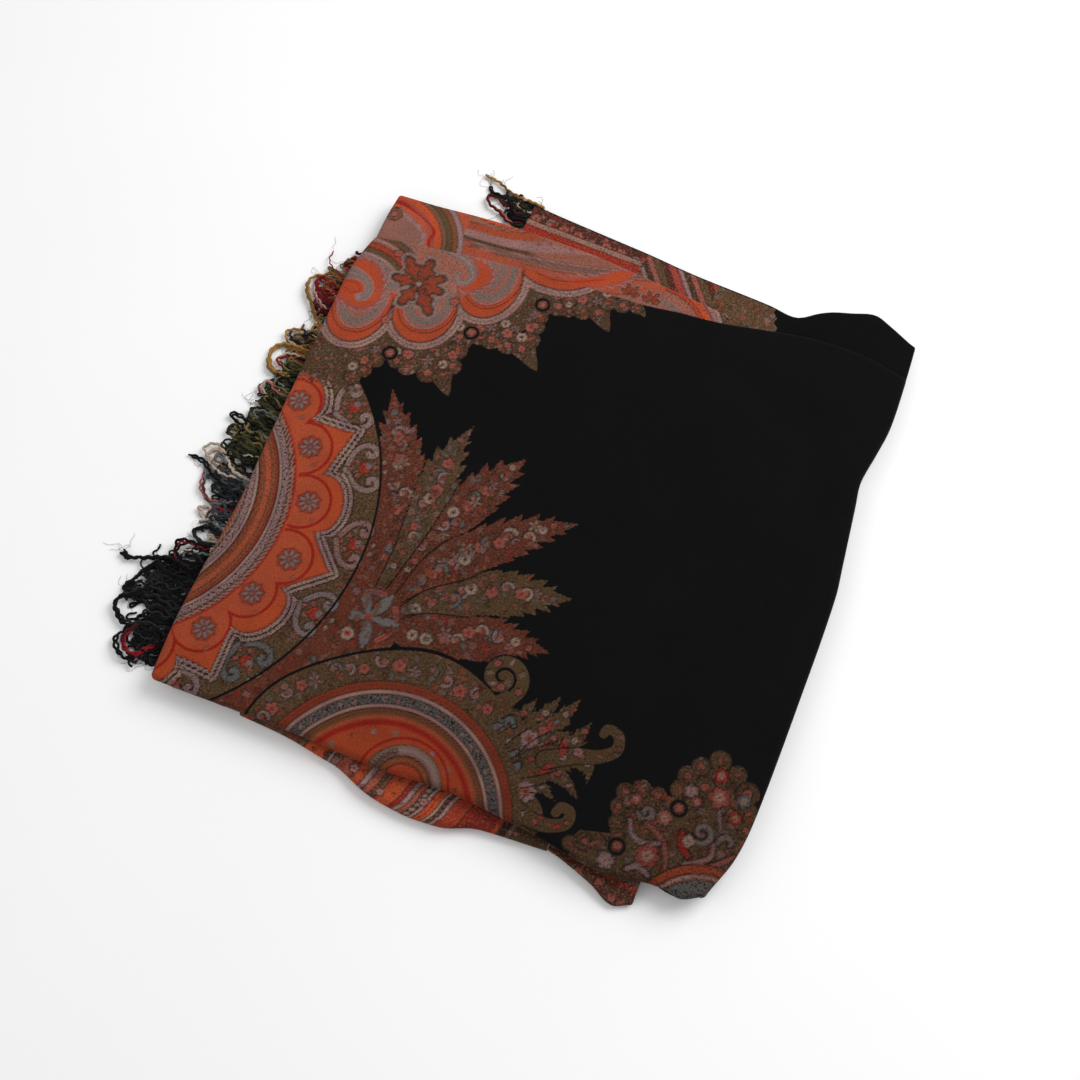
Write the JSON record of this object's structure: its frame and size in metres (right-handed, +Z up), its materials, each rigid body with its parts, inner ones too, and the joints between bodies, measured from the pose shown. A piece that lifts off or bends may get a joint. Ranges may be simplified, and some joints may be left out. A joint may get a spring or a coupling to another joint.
{
  "type": "folded paisley shawl",
  "caption": "Fine wool paisley shawl folded into a flat square packet, black field bordered by paisley, leaf and flower bands, with a short curly fringe out of one side.",
  "frame": {"origin": "middle of the packet's flat underside, on the table", "axes": "+Z up out of the table, +X along the front fold from the fringed side to the plain black side, +Y away from the front fold to the back"},
  "size_m": [0.5116, 0.5223, 0.0222],
  "materials": {
    "top_panel": "soft twill with a faint sheen, black field with a woven paisley border",
    "second_stretch": "soft twill, orange border with olive and lilac stripes",
    "third_stretch": "soft twill, dark red border that ends in black",
    "front_roll": "soft twill, slanting lilac, orange and red stripes",
    "front_flap": "soft twill, olive and orange",
    "hidden_layers": "soft twill seen at the folds",
    "black_yarn": "curly wool yarn",
    "blue_yarn": "curly wool yarn",
    "green_yarn": "curly wool yarn",
    "gold_yarn": "curly wool yarn",
    "red_yarn": "curly wool yarn"
  },
  "bodies": {
    "root": {"top_panel": "top_panel", "second_stretch": "second_stretch", "third_stretch": "third_stretch", "front_roll": "front_roll", "front_flap": "front_flap", "hidden_layers": "hidden_layers", "fringe_black": "black_yarn", "fringe_blue": "blue_yarn", "fringe_green": "green_yarn", "fringe_gold": "gold_yarn", "fringe_red": "red_yarn", "fringe_back": "black_yarn"}
  },
  "joints": []
}
